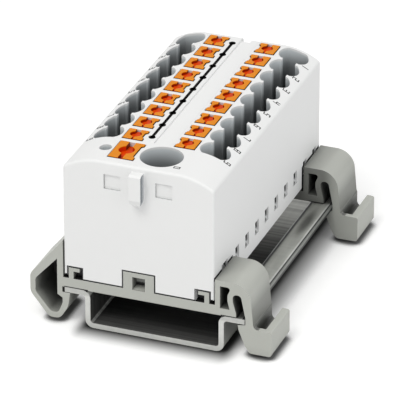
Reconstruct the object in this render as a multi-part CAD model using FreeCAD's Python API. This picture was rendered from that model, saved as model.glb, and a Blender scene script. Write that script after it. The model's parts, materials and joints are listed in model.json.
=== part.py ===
"""Push-in distribution block on two clip-on rail adapters and a short top-hat rail.

Millimetres, +Z up. X runs across the rail and Y along it. The origin lies on the
rail's underside, at the middle of its length and width.
"""
import math
import os

import FreeCAD
import Part

V = FreeCAD.Vector

# Top-hat rail, 35 x 7.5
RAIL_W = 35.0
RAIL_H = 7.5
RAIL_WEB_W = 27.0
RAIL_T = 1.0
RAIL_BEND = 0.6
RAIL_PAST_REAR = 2.4
RAIL_UNDER_GAP = 0.12
RAIL_SEAT_GAP = 0.03
RAIL_TIP_GAP = 0.12

# Terminal grid
PITCH = 5.2
PER_ROW = 9
FIRST_Y = 12.0
LAST_TO_END = 3.2
ENTRY_INSET = 4.25
BUTTON_TO_ENTRY = 5.29

# Block outside
BLOCK_X = -3.0
BLOCK_W = 29.2
FLANGE_TO_TOP = 27.15
CROWN_DROP = 2.3
CROWN_FLAT = 7.4
WALL = 1.2
END_WALL = 1.3
EDGE_R = 0.5
SHOULDER_R = 0.8

# Rail adapter
ADAPTER_L = 9.6
PLATE_T = 2.0
SIDE_GAP = 0.2
CLAW_TOP = 9.5
CLAW_OUT = 6.5
CLAW_BELLY_TOP = 1.6
CLAW_BELLY_BOTTOM = -2.2
CLAW_WALL = 1.0
CLAW_SPINE_T = 1.15
POCKET_WEB = 0.8
CLAW_GRIP = 1.0
CLAW_FREE_GAP = 0.5
SOLE_Z = -6.75
SOLE_OUT = 2.9
SOLE_IN = 0.7
TOWER_W = 5.85
TOWER_TOP = 7.15
TOWER_R = 3.6
TOWER_WALL = 0.95
FLEX_SLOT_W = 1.55
FLEX_SLOT_TOP = 4.75
LATCH_GRIP = 1.3
LATCH_OUT = 5.05
LATCH_LIP = -1.75
LATCH_FRONT_WALL = 1.0
VALLEY_W = 2.0
VALLEY_INSET = 1.4
VALLEY_FLOOR = -4.3
FRONT_LINE_GAP = 0.12
LEG_GAP = 0.75

# Wire entries
ENTRY_R = 2.82
ENTRY_HALF_Y = 2.2
ENTRY_DEPTH = 8.65
LINK_HALF_X = 1.35
WIRE_W = 3.2

# Push buttons
BUTTON_W = 3.75
BUTTON_D = 3.85
BUTTON_GAP = 0.17
BUTTON_RAISE = 0.2
COLLAR_OUT = 0.27
COLLAR_H = 1.9
STOP_GAP = 0.05
KEY_OUT = 0.4
KEY_HALF = 0.65
DRIVE_R = 1.1
DRIVE_DEPTH = 0.6
SLOT_W = 1.0
FRONT_SLOT_W = 0.45

# Infeed terminal
INFEED_X = -4.3
INFEED_Y = 5.5
INFEED_W = 4.8
INFEED_D = 6.5
INFEED_HOLE_X = 2.5
INFEED_HOLE_Y = 5.45
INFEED_HOLE_R = 4.0
INFEED_HOLE_DEPTH = 12.5
INFEED_WIRE_W = 5.4
INFEED_DRIVE_R = 1.5
INFEED_DRIVE_DEPTH = 1.0
INFEED_SLOT_W = 1.3
INFEED_FRONT_SLOT_W = 0.95
TEST_X = -8.4
TEST_Y = 5.55
TEST_R = 1.18

# Marker channel, front rib and rear groove
MARKER_X0 = -0.9
MARKER_X1 = 2.7
MARKER_Y0 = 10.0
MARKER_DEPTH = 0.35
RIB_W = 2.33
RIB_OUT = 1.75
RIB_BOTTOM = 19.1
RIB_TOP = 26.2
RIB_POINT_H = 2.2
GROOVE_GAP = 0.1
GROOVE_CAP = 1.0
NOTCH_W = 1.65
NOTCH_DEPTH = 1.1
DIMPLE_X0 = 3.4
DIMPLE_X1 = 6.6
DIMPLE_Z0 = 21.75
DIMPLE_Z1 = 24.65
DIMPLE_DEPTH = 0.3

# Clip features where block and adapter meet
NOTCH_INSET = 0.75
HOOK_NOTCH_W = 2.85
HOOK_NOTCH_H = 2.4
HOOK_T = 0.9
HOOK_INSET = 0.95
HOOK_BAR_W = 2.1
HOOK_H = 2.25
HOOK_BAR_T = 0.75
HOOK_L = 6.0
BOSS_HALF = 3.0
BOSS_H = 3.5
BOSS_L = 3.0
BOSS_GAP = 0.1
BOSS_WINDOW_HALF = 1.25
BOSS_WINDOW_H = 2.6
BOSS_WINDOW_DEPTH = 2.2

# Chamber, base cover and side windows
CHAMBER_FLOOR = 5.7
FLOOR_T = 1.2
CHAMBER_TOP = 13.0
FIT_GAP = 0.1
WINDOW_W = 1.9
WINDOW_Z0 = 5.3
WINDOW_Z1 = 8.0
INFEED_WINDOW_W = 3.0
CATCH_OUT = 1.15
CATCH_LIP = 0.35
CATCH_RISE = 1.9
CATCH_GAP = 0.15
CATCH_SIDE_GAP = 0.05

# Busbar and clamp springs
BAR_LIFT = 1.4
BAR_T = 1.2
TAB_PAST_ENTRY = 1.65
TAB_T = 0.9
TAB_W = 3.4
TAB_H = 3.2
SPRING_T = 0.4
SPRING_W = 3.0
INFEED_SPRING_T = 0.6
INFEED_SPRING_W = 5.0
SPRING_TOP_GAP = 0.1
BOW_CUT = 0.9

# Levels and positions worked out from the sizes above
BLOCK_L = FIRST_Y + PITCH * (PER_ROW - 1) + LAST_TO_END
ENTRY_X = BLOCK_W / 2 - ENTRY_INSET
BUTTON_X = ENTRY_X - BUTTON_TO_ENTRY
NOTCH_X1 = BLOCK_W / 2 - NOTCH_INSET
NOTCH_X0 = NOTCH_X1 - HOOK_NOTCH_W
HOOK_X1 = BLOCK_W / 2 - HOOK_INSET
HOOK_X0 = HOOK_X1 - HOOK_BAR_W
BAR_HALF_X = ENTRY_X + TAB_PAST_ENTRY
SEAT_L = BLOCK_X - BLOCK_W / 2 - SIDE_GAP
SEAT_R = BLOCK_X + BLOCK_W / 2 + SIDE_GAP
SPINE_X = min(SEAT_L, -RAIL_W / 2 - CLAW_FREE_GAP + 0.2)
TOWER_X = max(SEAT_R + TOWER_W, RAIL_W / 2 + RAIL_TIP_GAP)
FLANGE_Z = RAIL_H
PLATE_Z = FLANGE_Z + PLATE_T
FRONT_Y = -BLOCK_L / 2
TOP_Z = FLANGE_Z + FLANGE_TO_TOP
SHOULDER_Z = TOP_Z - CROWN_DROP
BODY_Z = PLATE_Z + FRONT_LINE_GAP
LEG_Z = PLATE_Z + LEG_GAP
ENTRY_Z = TOP_Z - ENTRY_DEPTH
CEILING_Z = FLANGE_Z + CHAMBER_TOP
FLOOR_Z = FLANGE_Z + CHAMBER_FLOOR
BAR_Z = FLOOR_Z + FLOOR_T + BAR_LIFT
BAR_TOP_Z = BAR_Z + BAR_T
LEDGE_Z = ENTRY_Z
BUTTON_TOP_Z = TOP_Z + BUTTON_RAISE
COLLAR_TOP_Z = LEDGE_Z - STOP_GAP
COLLAR_BOTTOM_Z = COLLAR_TOP_Z - COLLAR_H


def box(x0, x1, y0, y1, z0, z1):
    """Box between two corners, x from the block's middle and y from its front."""
    return Part.makeBox(
        x1 - x0, y1 - y0, z1 - z0, V(BLOCK_X + x0, FRONT_Y + y0, z0)
    )


def post(x, y, r, z0, z1):
    """Upright cylinder placed as box() places its corners."""
    return Part.makeCylinder(r, z1 - z0, V(BLOCK_X + x, FRONT_Y + y, z0))


def rounded_outline(corners):
    """Closed wire through (x, z, radius) corners in the XZ plane."""
    edges = []
    joints = []
    count = len(corners)
    for i in range(count):
        x, z, r = corners[i]
        before = V(corners[i - 1][0], 0, corners[i - 1][1])
        after = V(corners[(i + 1) % count][0], 0, corners[(i + 1) % count][1])
        here = V(x, 0, z)
        if r <= 0:
            joints.append((here, None, here))
            continue
        back = (before - here).normalize()
        ahead = (after - here).normalize()
        half = back.getAngle(ahead) / 2
        reach = r / math.tan(half)
        middle = (back + ahead).normalize() * (r / math.sin(half) - r)
        joints.append((here + back * reach, here + middle, here + ahead * reach))
    for i in range(count):
        start, middle, end = joints[i]
        if middle is not None:
            edges.append(Part.Arc(start, middle, end).toShape())
        following = joints[(i + 1) % count][0]
        if end.distanceToPoint(following) > 1e-6:
            edges.append(Part.makeLine(end, following))
    return Part.Wire(Part.__sortEdges__(edges))


def bar_along_y(corners, y0, y1):
    """Rounded XZ outline carried from y0 to y1, counted from the block's front."""
    face = Part.Face(rounded_outline(corners))
    face.translate(V(0, FRONT_Y + y0, 0))
    return face.extrude(V(0, y1 - y0, 0))


def strip_along_y(path, thickness, y, width):
    """Metal strip folded along a centre line in XZ."""
    left = []
    right = []
    for i, (x, z) in enumerate(path):
        here = V(x, z, 0)
        if i == 0:
            along = (V(path[1][0], path[1][1], 0) - here).normalize()
            scale = 1.0
        elif i == len(path) - 1:
            along = (here - V(path[i - 1][0], path[i - 1][1], 0)).normalize()
            scale = 1.0
        else:
            before = (here - V(path[i - 1][0], path[i - 1][1], 0)).normalize()
            after = (V(path[i + 1][0], path[i + 1][1], 0) - here).normalize()
            along = (before + after).normalize()
            scale = 1 / along.dot(before)
        side = V(-along.y, along.x, 0) * (thickness / 2 * scale)
        left.append(here + side)
        right.append(here - side)
    corners = [(BLOCK_X + p.x, p.y, 0) for p in left + right[::-1]]
    return bar_along_y(corners, y - width / 2, y + width / 2)


def terminal_y(i):
    return FIRST_Y + PITCH * i


def block_outline():
    """Closed front outline of the block: straight sides and a crowned top."""
    half = BLOCK_W / 2
    reach = half - CROWN_FLAT
    radius = (reach ** 2 + CROWN_DROP ** 2) / (2 * CROWN_DROP)
    lean = math.asin(reach / radius) / 2
    mid_x = CROWN_FLAT + radius * math.sin(lean)
    mid_z = TOP_Z - radius * (1 - math.cos(lean))
    p = [
        V(-half, 0, BODY_Z),
        V(half, 0, BODY_Z),
        V(half, 0, SHOULDER_Z),
        V(CROWN_FLAT, 0, TOP_Z),
        V(-CROWN_FLAT, 0, TOP_Z),
        V(-half, 0, SHOULDER_Z),
    ]
    edges = [
        Part.makeLine(p[0], p[1]),
        Part.makeLine(p[1], p[2]),
        Part.Arc(p[2], V(mid_x, 0, mid_z), p[3]).toShape(),
        Part.makeLine(p[3], p[4]),
        Part.Arc(p[4], V(-mid_x, 0, mid_z), p[5]).toShape(),
        Part.makeLine(p[5], p[0]),
    ]
    return Part.Wire(edges)


def soften(solid, radius, wanted):
    """Round the edges whose middle point passes the test."""
    chosen = []
    for edge in solid.Edges:
        middle = edge.valueAt((edge.FirstParameter + edge.LastParameter) / 2)
        if wanted(edge, middle):
            chosen.append(edge)
    return solid.makeFillet(radius, chosen)


def shell_blank():
    """Solid block with its crown, rounded shoulders, end corners and top edges."""
    face = Part.Face(block_outline())
    face.translate(V(BLOCK_X, FRONT_Y, 0))
    solid = face.extrude(V(0, BLOCK_L, 0))
    half = BLOCK_W / 2

    def shoulder(edge, m):
        return abs(abs(m.x - BLOCK_X) - half) < 0.01 and abs(m.z - SHOULDER_Z) < 0.01

    def end_rim(edge, m):
        at_end = abs(abs(m.y) - BLOCK_L / 2) < 0.01
        upright = abs(edge.tangentAt(edge.FirstParameter).z) > 0.99
        at_top = m.z > SHOULDER_Z - 1.2
        return at_end and (upright or at_top)

    solid = soften(solid, SHOULDER_R, shoulder)
    return soften(solid, EDGE_R, end_rim)


def wire_window(x, y, width, top):
    """Square window through which a wire reaches its clamp."""
    return box(
        x - width / 2, x + width / 2, y - width / 2, y + width / 2, CEILING_Z - 1, top
    )


def entry_tool(side):
    """One row of scalloped wire entries, linked to a trough, with their windows."""
    x = side * ENTRY_X
    first = terminal_y(0)
    last = terminal_y(PER_ROW - 1)
    tool = box(x - LINK_HALF_X, x + LINK_HALF_X, first, last, ENTRY_Z, TOP_Z + 1)
    for i in range(PER_ROW):
        y = terminal_y(i)
        cup = post(x, y, ENTRY_R, ENTRY_Z, TOP_Z + 1)
        cup = cup.common(
            box(x - 4, x + 4, y - ENTRY_HALF_Y, y + ENTRY_HALF_Y, ENTRY_Z, TOP_Z + 1)
        )
        tool = tool.fuse([cup, wire_window(x, y, WIRE_W, ENTRY_Z + 1)])
    return tool


def key(x_wall, inward, y, half, grow, z0, z1):
    """Guide key that stands off a well's wall, in plan a low trapezium."""
    out = KEY_OUT + grow
    base = half + KEY_OUT + grow
    tip = half + grow
    p = [
        V(x_wall - inward * 0.5, y - base, z0),
        V(x_wall, y - base, z0),
        V(x_wall + inward * out, y - tip, z0),
        V(x_wall + inward * out, y + tip, z0),
        V(x_wall, y + base, z0),
        V(x_wall - inward * 0.5, y + base, z0),
    ]
    face = Part.Face(Part.makePolygon(p + [p[0]]))
    face.translate(V(BLOCK_X, FRONT_Y, 0))
    return face.extrude(V(0, 0, z1 - z0))


def well_tool(x, y, width, depth, middle_side, key_half, collar):
    """Button well: keyed shaft above the ledge and wider collar room below it."""
    x0 = x - width / 2 - BUTTON_GAP
    x1 = x + width / 2 + BUTTON_GAP
    y0 = y - depth / 2 - BUTTON_GAP
    y1 = y + depth / 2 + BUTTON_GAP
    shaft = box(x0, x1, y0, y1, LEDGE_Z - 1, TOP_Z + 1)
    wall_x = x1 if middle_side > 0 else x0
    shaft = shaft.cut(key(wall_x, -middle_side, y, key_half, 0, LEDGE_Z, TOP_Z + 2))
    cx0, cx1, cy = collar
    room = box(
        x + cx0 - BUTTON_GAP,
        x + cx1 + BUTTON_GAP,
        y - cy - BUTTON_GAP,
        y + cy + BUTTON_GAP,
        CEILING_Z - 1,
        LEDGE_Z,
    )
    return shaft.fuse(room)


def small_collar():
    reach = BUTTON_W / 2 + COLLAR_OUT
    return (-reach, reach, BUTTON_D / 2 + COLLAR_OUT)


def infeed_collar():
    return (
        -INFEED_W / 2 - COLLAR_OUT,
        INFEED_W / 2,
        INFEED_D / 2 + COLLAR_OUT,
    )


def infeed_key_half():
    return INFEED_D / 2 - 1.35


def rib_solid(grow):
    """Upright locating rib: pointed below in front view, ramped back in side view."""
    out = RIB_OUT + grow
    half = RIB_W / 2 + grow
    top = FLANGE_Z + RIB_TOP + grow
    point = FLANGE_Z + RIB_BOTTOM - grow
    shoulder = point + RIB_POINT_H
    bend_x = half * 0.7
    bend_z = point + RIB_POINT_H * 0.4
    front = [
        Part.makeLine(V(-half, 0, top), V(-half, 0, shoulder)),
        Part.Arc(V(-half, 0, shoulder), V(-bend_x, 0, bend_z), V(0, 0, point)).toShape(),
        Part.Arc(V(0, 0, point), V(bend_x, 0, bend_z), V(half, 0, shoulder)).toShape(),
        Part.makeLine(V(half, 0, shoulder), V(half, 0, top)),
        Part.makeLine(V(half, 0, top), V(-half, 0, top)),
    ]
    face = Part.Face(Part.Wire(front))
    face.translate(V(BLOCK_X, FRONT_Y - out, 0))
    upright = face.extrude(V(0, out + 1, 0))
    side = [
        V(0, 1, top),
        V(0, -out * 0.75, top),
        V(0, -out, top - 0.3),
        V(0, -out, shoulder - 0.1),
        V(0, -out * 0.8, point + RIB_POINT_H * 0.5),
        V(0, 0, point),
        V(0, 1, point),
    ]
    ramp = Part.Face(Part.makePolygon(side + [side[0]]))
    ramp.translate(V(BLOCK_X - half - 1, FRONT_Y, 0))
    return upright.common(ramp.extrude(V(2 * half + 2, 0, 0)))


def rear_groove():
    """Groove that takes a neighbour's rib, with a narrow notch above it."""
    groove = rib_solid(GROOVE_GAP)
    groove.translate(V(0, BLOCK_L, 0))
    cap = TOP_Z - GROOVE_CAP
    keep = box(-3, 3, BLOCK_L - 4, BLOCK_L + 2, CEILING_Z, cap)
    notch = box(
        -NOTCH_W / 2,
        NOTCH_W / 2,
        BLOCK_L - NOTCH_DEPTH,
        BLOCK_L + 1,
        cap - 0.5,
        TOP_Z + 1,
    )
    return groove.common(keep).fuse(notch)


def window_list():
    windows = [(INFEED_Y, INFEED_WINDOW_W)]
    for i in range(PER_ROW):
        windows.append((terminal_y(i), WINDOW_W))
    return windows


def housing():
    half = BLOCK_W / 2
    inner = half - WALL
    body = shell_blank()
    body = body.fuse(rib_solid(0))
    cuts = [entry_tool(-1), entry_tool(1), rear_groove()]
    for side in (-1, 1):
        for i in range(PER_ROW):
            cuts.append(
                well_tool(
                    side * BUTTON_X,
                    terminal_y(i),
                    BUTTON_W,
                    BUTTON_D,
                    -side,
                    KEY_HALF,
                    small_collar(),
                )
            )
        for y, width in window_list():
            x0 = min(side * inner, side * (half + 1)) - 0.5
            cuts.append(
                box(
                    x0,
                    x0 + WALL + 2,
                    y - width / 2,
                    y + width / 2,
                    FLANGE_Z + WINDOW_Z0,
                    FLANGE_Z + WINDOW_Z1,
                )
            )
        dimple_x = side * (DIMPLE_X0 + DIMPLE_X1) / 2
        dimple_half = (DIMPLE_X1 - DIMPLE_X0) / 2
        cuts.append(
            box(
                dimple_x - dimple_half,
                dimple_x + dimple_half,
                -1,
                DIMPLE_DEPTH,
                FLANGE_Z + DIMPLE_Z0,
                FLANGE_Z + DIMPLE_Z1,
            )
        )
        notch_x = side * (NOTCH_X0 + NOTCH_X1) / 2
        notch_half = (NOTCH_X1 - NOTCH_X0) / 2
        cuts.append(
            box(
                notch_x - notch_half,
                notch_x + notch_half,
                -1,
                BLOCK_L + 1,
                PLATE_Z - 1,
                PLATE_Z + HOOK_NOTCH_H,
            )
        )
        leg_x = side * (NOTCH_X1 + half + 1) / 2
        leg_half = (half + 1 - NOTCH_X1) / 2
        cuts.append(
            box(leg_x - leg_half, leg_x + leg_half, -1, BLOCK_L + 1, PLATE_Z - 1, LEG_Z)
        )
    cuts.append(
        well_tool(
            INFEED_X,
            INFEED_Y,
            INFEED_W,
            INFEED_D,
            1,
            infeed_key_half(),
            infeed_collar(),
        )
    )
    hole_bottom = TOP_Z - INFEED_HOLE_DEPTH
    cuts.append(post(INFEED_HOLE_X, INFEED_HOLE_Y, INFEED_HOLE_R, hole_bottom, TOP_Z + 1))
    cuts.append(
        wire_window(INFEED_HOLE_X, INFEED_HOLE_Y, INFEED_WIRE_W, hole_bottom + 1)
    )
    cuts.append(post(TEST_X, TEST_Y, TEST_R, CEILING_Z - 1, TOP_Z + 1))
    cuts.append(
        box(
            MARKER_X0,
            MARKER_X1,
            MARKER_Y0,
            BLOCK_L + 1,
            TOP_Z - MARKER_DEPTH,
            TOP_Z + 1,
        )
    )
    cuts.append(box(-inner, inner, END_WALL, BLOCK_L - END_WALL, BODY_Z - 1, CEILING_Z))
    boss = BOSS_HALF + BOSS_GAP
    cuts.append(
        box(-boss, boss, -1, BLOCK_L + 1, PLATE_Z - 1, PLATE_Z + BOSS_H + BOSS_GAP)
    )
    body = body.cut(cuts)
    return body.removeSplitter()


def hook_rail(y0, y1):
    """Rail under one end of the cover that the adapter's hooks grip."""
    top = FLOOR_Z
    ledge = HOOK_H - HOOK_BAR_T - FIT_GAP
    rail = box(-NOTCH_X0 + FIT_GAP, NOTCH_X0 - FIT_GAP, y0, y1, PLATE_Z, top)
    lip = NOTCH_X1 - HOOK_T - 3 * FIT_GAP
    rail = rail.fuse(box(-lip, lip, y0, y1, PLATE_Z + FIT_GAP, PLATE_Z + ledge))
    boss = BOSS_HALF + BOSS_GAP
    clear = box(
        -boss, boss, -1, BOSS_L + BOSS_GAP, PLATE_Z - 1, PLATE_Z + BOSS_H + BOSS_GAP
    )
    rear = box(
        -boss,
        boss,
        BLOCK_L - ADAPTER_L - BOSS_GAP,
        BLOCK_L - ADAPTER_L + BOSS_L + BOSS_GAP,
        PLATE_Z - 1,
        PLATE_Z + BOSS_H + BOSS_GAP,
    )
    return rail.cut([clear, rear])


def catch(side, y, width):
    """Wedge that snaps outwards into one side window."""
    inner = BLOCK_W / 2 - WALL - FIT_GAP
    z0 = FLANGE_Z + WINDOW_Z0 + CATCH_GAP
    z1 = z0 + CATCH_RISE
    p = [
        V(side * (inner - 0.5), 0, z0),
        V(side * (inner + CATCH_OUT), 0, z0),
        V(side * (inner + CATCH_OUT), 0, z0 + CATCH_LIP),
        V(side * inner, 0, z1),
        V(side * (inner - 0.5), 0, z1),
    ]
    face = Part.Face(Part.makePolygon(p + [p[0]]))
    face.translate(V(BLOCK_X, FRONT_Y + y - width / 2, 0))
    return face.extrude(V(0, width, 0))


def base_cover():
    inner = BLOCK_W / 2 - WALL - FIT_GAP
    y0 = END_WALL + FIT_GAP
    y1 = BLOCK_L - END_WALL - FIT_GAP
    body = box(-inner, inner, y0, y1, FLOOR_Z, FLOOR_Z + FLOOR_T)
    parts = [
        hook_rail(y0, ADAPTER_L),
        hook_rail(BLOCK_L - ADAPTER_L, y1),
    ]
    wall_top = FLANGE_Z + WINDOW_Z1 - CATCH_GAP
    for side in (-1, 1):
        x = side * (inner - 0.5)
        parts.append(box(x - 0.5, x + 0.5, y0, y1, FLOOR_Z, wall_top))
        for y, width in window_list():
            parts.append(catch(side, y, width - 2 * CATCH_SIDE_GAP))
        x = side * 2.0
        parts.append(box(x - 0.6, x + 0.6, y0 + 2, y1 - 2, FLOOR_Z, BAR_Z))
        x = side * (inner - 2.0)
        parts.append(box(x - 0.5, x + 0.5, y0 + 2, y1 - 2, FLOOR_Z, BAR_Z))
    return body.fuse(parts).removeSplitter()


def busbar():
    """Stamped bar under all terminals, with an upturned contact tab at each wire."""
    y0 = END_WALL + 1.2
    y1 = BLOCK_L - END_WALL - 0.6
    body = box(-BAR_HALF_X, BAR_HALF_X, y0, y1, BAR_Z, BAR_TOP_Z)
    tabs = []
    for side in (-1, 1):
        for i in range(PER_ROW):
            x = side * (BAR_HALF_X - TAB_T / 2)
            y = terminal_y(i)
            tabs.append(
                box(
                    x - TAB_T / 2,
                    x + TAB_T / 2,
                    y - TAB_W / 2,
                    y + TAB_W / 2,
                    BAR_Z,
                    BAR_TOP_Z + TAB_H,
                )
            )
    x = INFEED_HOLE_X + INFEED_WIRE_W / 2
    tabs.append(
        box(x, x + TAB_T, INFEED_Y - 2.5, INFEED_Y + 2.5, BAR_Z, BAR_TOP_Z + TAB_H)
    )
    gaps = []
    for side in (-1, 1):
        for i in range(PER_ROW - 1):
            x = side * (BAR_HALF_X - 1.5)
            y = terminal_y(i) + PITCH / 2
            gaps.append(box(x - 2, x + 2, y - 0.6, y + 0.6, BAR_Z - 1, BAR_TOP_Z + 1))
    return body.fuse(tabs).cut(gaps).removeSplitter()


def spring_path(foot_x, heel_x, top_x, leg_x, out, thickness):
    """Centre line of a clamp spring: foot, heel, bow under the button, clamping leg."""
    low = BAR_TOP_Z + thickness / 2
    high = COLLAR_BOTTOM_Z - SPRING_TOP_GAP - thickness / 2
    knee = CEILING_Z - 0.9
    return [
        (foot_x, low),
        (heel_x, low),
        (heel_x, high - BOW_CUT),
        (heel_x + out * BOW_CUT, high),
        (top_x - out * BOW_CUT, high),
        (top_x, high - BOW_CUT),
        (top_x + out * 0.2, knee),
        (leg_x, low + 1.3),
    ]


def small_spring(side, i):
    path = spring_path(
        side * (BUTTON_X + 2.94),
        side * (BUTTON_X - 1.46),
        side * (BUTTON_X + 1.44),
        side * (ENTRY_X + 0.25),
        side,
        SPRING_T,
    )
    return strip_along_y(path, SPRING_T, terminal_y(i), SPRING_W)


def infeed_spring():
    path = spring_path(
        INFEED_X + 3.3,
        INFEED_X - 2.0,
        INFEED_X + 1.4,
        INFEED_HOLE_X + INFEED_WIRE_W / 2 - 1.6,
        1,
        INFEED_SPRING_T,
    )
    return strip_along_y(path, INFEED_SPRING_T, INFEED_Y, INFEED_SPRING_W)


def button(x, y, width, depth, middle_side, key_half, collar, drive):
    """Keyed push button with a screwdriver seat on top and a retaining collar."""
    drive_r, drive_depth, slot_w, front_w = drive
    x0 = x - width / 2
    x1 = x + width / 2
    y0 = y - depth / 2
    y1 = y + depth / 2
    head = box(x0, x1, y0, y1, COLLAR_BOTTOM_Z, BUTTON_TOP_Z)

    def rim(edge, m):
        return abs(m.z - BUTTON_TOP_Z) < 0.01

    head = head.makeChamfer(0.12, [e for e in head.Edges if rim(e, e.CenterOfMass)])
    cx0, cx1, cy = collar
    body = head.fuse(
        box(x + cx0, x + cx1, y - cy, y + cy, COLLAR_BOTTOM_Z, COLLAR_TOP_Z)
    )
    wall_x = x1 + BUTTON_GAP if middle_side > 0 else x0 - BUTTON_GAP
    seat_z = BUTTON_TOP_Z - drive_depth
    cuts = [
        key(
            wall_x,
            -middle_side,
            y,
            key_half,
            BUTTON_GAP,
            COLLAR_TOP_Z,
            BUTTON_TOP_Z + 1,
        ),
        post(x, y, drive_r, seat_z, BUTTON_TOP_Z + 1),
        box(x - slot_w / 2, x + slot_w / 2, y, y1 + 1, seat_z, BUTTON_TOP_Z + 1),
        box(x - front_w / 2, x + front_w / 2, y0 - 1, y, seat_z, BUTTON_TOP_Z + 1),
    ]
    return body.cut(cuts).removeSplitter()


def small_button(side, i):
    drive = (DRIVE_R, DRIVE_DEPTH, SLOT_W, FRONT_SLOT_W)
    return button(
        side * BUTTON_X,
        terminal_y(i),
        BUTTON_W,
        BUTTON_D,
        -side,
        KEY_HALF,
        small_collar(),
        drive,
    )


def infeed_button():
    drive = (INFEED_DRIVE_R, INFEED_DRIVE_DEPTH, INFEED_SLOT_W, INFEED_FRONT_SLOT_W)
    return button(
        INFEED_X,
        INFEED_Y,
        INFEED_W,
        INFEED_D,
        1,
        infeed_key_half(),
        infeed_collar(),
        drive,
    )


def raised(corners):
    """Corners given from the rail's flange, moved to the part's own zero."""
    return [(x, z + FLANGE_Z, r) for x, z, r in corners]


def claw_corners():
    """Fixed claw that hooks under the rail's -X flange, from its top to the flange."""
    tip = -RAIL_W / 2
    under = -RAIL_T - RAIL_UNDER_GAP
    return [
        (SEAT_L, CLAW_TOP, 0.0),
        (SPINE_X - CLAW_OUT, CLAW_BELLY_TOP, 2.0),
        (SPINE_X - CLAW_OUT, CLAW_BELLY_BOTTOM, 2.0),
        (SPINE_X - SOLE_OUT, SOLE_Z, 1.6),
        (SPINE_X - SOLE_IN, SOLE_Z, 1.6),
        (tip + CLAW_GRIP * 0.6, SOLE_Z * 0.6, 4.0),
        (tip + CLAW_GRIP, under, 0.0),
        (tip - CLAW_FREE_GAP, under, 0.0),
        (tip - CLAW_FREE_GAP, RAIL_SEAT_GAP, 0.0),
    ]


def latch_corners():
    """Sprung latch on the +X side: flex slot, tooth, foot with lip, and its tower."""
    tip = RAIL_W / 2
    under = -RAIL_T - RAIL_UNDER_GAP
    slot_r = TOWER_X - 0.9
    slot_l = slot_r - FLEX_SLOT_W
    return [
        (slot_l + 0.65, RAIL_SEAT_GAP, 0.0),
        (slot_l + 0.65, FLEX_SLOT_TOP * 0.2, 1.5),
        (slot_l, FLEX_SLOT_TOP * 0.7, 1.5),
        (slot_l, FLEX_SLOT_TOP, FLEX_SLOT_W / 2 - 0.02),
        (slot_r, FLEX_SLOT_TOP, FLEX_SLOT_W / 2 - 0.02),
        (TOWER_X, 0.3, 0.4),
        (TOWER_X, under + 0.03, 0.0),
        (tip - LATCH_GRIP, under - 0.2, 0.0),
        (tip - LATCH_GRIP + 0.15, under - 1.2, 0.6),
        (TOWER_X - 0.05, SOLE_Z + 1.25, 1.5),
        (TOWER_X + 0.85, SOLE_Z, 0.8),
        (TOWER_X + LATCH_OUT, SOLE_Z, 0.6),
        (TOWER_X + LATCH_OUT, LATCH_LIP, 0.4),
        (TOWER_X + 1.55, LATCH_LIP + 0.1, 0.9),
        (TOWER_X + 0.75, TOWER_TOP, TOWER_R),
    ]


def adapter_outline():
    """Front outline of the clip-on adapter: claw, latch, and the seat for the block."""
    seat = [
        (SEAT_R, TOWER_TOP, 0.0),
        (SEAT_R, PLATE_T, 0.0),
        (SEAT_L, PLATE_T, 0.0),
    ]
    return raised(claw_corners() + latch_corners() + seat)


def claw_hollow():
    """Pocket cored into the claw from its front."""
    return raised(
        [
            (SPINE_X - CLAW_SPINE_T, CLAW_TOP - 3.9, 0.0),
            (SPINE_X - CLAW_OUT + CLAW_WALL, CLAW_BELLY_TOP - 0.85, 1.0),
            (SPINE_X - CLAW_OUT + CLAW_WALL, CLAW_BELLY_BOTTOM + 0.25, 1.2),
            (SPINE_X - SOLE_OUT + 0.4, SOLE_Z + CLAW_SPINE_T, 1.0),
            (SPINE_X - SOLE_IN - 0.35, SOLE_Z + CLAW_SPINE_T, 0.9),
            (SPINE_X - 0.15, -3.4, 1.5),
            (SPINE_X - 0.15, -2.35, 0.0),
            (SPINE_X - CLAW_SPINE_T, -1.7, 0.0),
        ]
    )


def tower_hollow():
    """Pocket cored into the tower from its front."""
    left = SEAT_R + TOWER_WALL
    top = TOWER_TOP - CLAW_SPINE_T
    return raised(
        [
            (left, 1.5, 0.0),
            (left, top, 0.0),
            (TOWER_X - 2.75, top, 0.5),
            (TOWER_X - 3.45, 4.4, 1.0),
            (TOWER_X - 3.45, 3.2, 1.2),
            (TOWER_X - 3.05, 1.5, 0.0),
        ]
    )


def latch_valley():
    """Rounded screwdriver groove behind the latch, closed at its front end."""
    x1 = TOWER_X + LATCH_OUT - VALLEY_INSET
    r = VALLEY_W / 2
    z = FLANGE_Z + VALLEY_FLOOR + r
    y = FRONT_Y + LATCH_FRONT_WALL
    trough = Part.makeBox(VALLEY_W, ADAPTER_L, 6.0, V(x1 - VALLEY_W, y, z))
    bottom = Part.makeCylinder(r, ADAPTER_L, V(x1 - r, y, z), V(0, 1, 0))
    return trough.fuse(bottom)


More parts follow.
